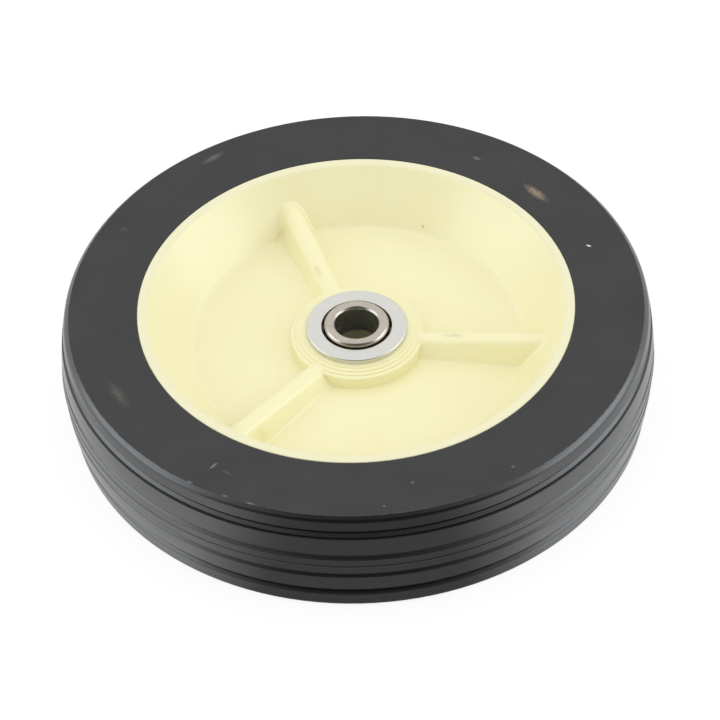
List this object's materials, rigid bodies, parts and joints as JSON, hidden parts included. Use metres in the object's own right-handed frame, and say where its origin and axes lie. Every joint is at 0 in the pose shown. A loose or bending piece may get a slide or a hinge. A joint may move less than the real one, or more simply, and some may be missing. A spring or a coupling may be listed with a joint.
{
  "type": "lawn mower wheel",
  "caption": "Solid rubber tyre with a grooved tread on a dished, ribbed plastic hub that turns on flanged ball bearings, for a push lawn mower's axle.",
  "frame": {"origin": "on the axle's axis at the middle of the tyre's width, the centre of the wheel's box", "axes": "+Z along the axle, out of the outboard face with the recessed bearing; +X and +Y in the wheel's plane"},
  "size_m": [0.1778, 0.1778, 0.037],
  "materials": {
    "tyre_rubber": "moulded black rubber, matt sidewalls and satin tread",
    "hub_plastic": "cream moulded polypropylene, soft gloss",
    "plated_flange": "bright zinc plate",
    "race_steel": "turned and tumbled steel, lightly oiled",
    "ball_steel": "polished steel"
  },
  "bodies": {
    "wheel": {"tyre": "tyre_rubber", "hub": "hub_plastic", "outboard_outer_race": "plated_flange", "inboard_outer_race": "plated_flange"},
    "outboard_inner_ring": {"outboard_inner_race": "race_steel"},
    "outboard_ball_set": {"outboard_ball_01": "ball_steel", "outboard_ball_02": "ball_steel", "outboard_ball_03": "ball_steel", "outboard_ball_04": "ball_steel", "outboard_ball_05": "ball_steel", "outboard_ball_06": "ball_steel", "outboard_ball_07": "ball_steel", "outboard_ball_08": "ball_steel", "outboard_ball_09": "ball_steel", "outboard_ball_10": "ball_steel", "outboard_ball_11": "ball_steel", "outboard_ball_12": "ball_steel", "outboard_ball_13": "ball_steel", "outboard_ball_14": "ball_steel", "outboard_ball_15": "ball_steel"},
    "inboard_inner_ring": {"inboard_inner_race": "race_steel"},
    "inboard_ball_set": {"inboard_ball_01": "ball_steel", "inboard_ball_02": "ball_steel", "inboard_ball_03": "ball_steel", "inboard_ball_04": "ball_steel", "inboard_ball_05": "ball_steel", "inboard_ball_06": "ball_steel", "inboard_ball_07": "ball_steel", "inboard_ball_08": "ball_steel", "inboard_ball_09": "ball_steel", "inboard_ball_10": "ball_steel", "inboard_ball_11": "ball_steel", "inboard_ball_12": "ball_steel", "inboard_ball_13": "ball_steel", "inboard_ball_14": "ball_steel", "inboard_ball_15": "ball_steel"}
  },
  "joints": [
    {"name": "outboard_bearing_spin", "type": "hinge", "parent": "wheel", "child": "outboard_inner_ring", "pos_m": [0, 0, 0.00547], "axis": [0, 0, 1], "continuous": true},
    {"name": "outboard_ball_orbit", "type": "hinge", "parent": "wheel", "child": "outboard_ball_set", "pos_m": [0, 0, 0.00547], "axis": [0, 0, 1], "continuous": true},
    {"name": "inboard_bearing_spin", "type": "hinge", "parent": "wheel", "child": "inboard_inner_ring", "pos_m": [0, 0, -0.01257], "axis": [0, 0, 1], "continuous": true},
    {"name": "inboard_ball_orbit", "type": "hinge", "parent": "wheel", "child": "inboard_ball_set", "pos_m": [0, 0, -0.01257], "axis": [0, 0, 1], "continuous": true}
  ],
  "couplings": [
    {"joint": "outboard_ball_orbit", "follows": "outboard_bearing_spin", "ratio": 0.4022},
    {"joint": "inboard_ball_orbit", "follows": "inboard_bearing_spin", "ratio": 0.4022}
  ]
}
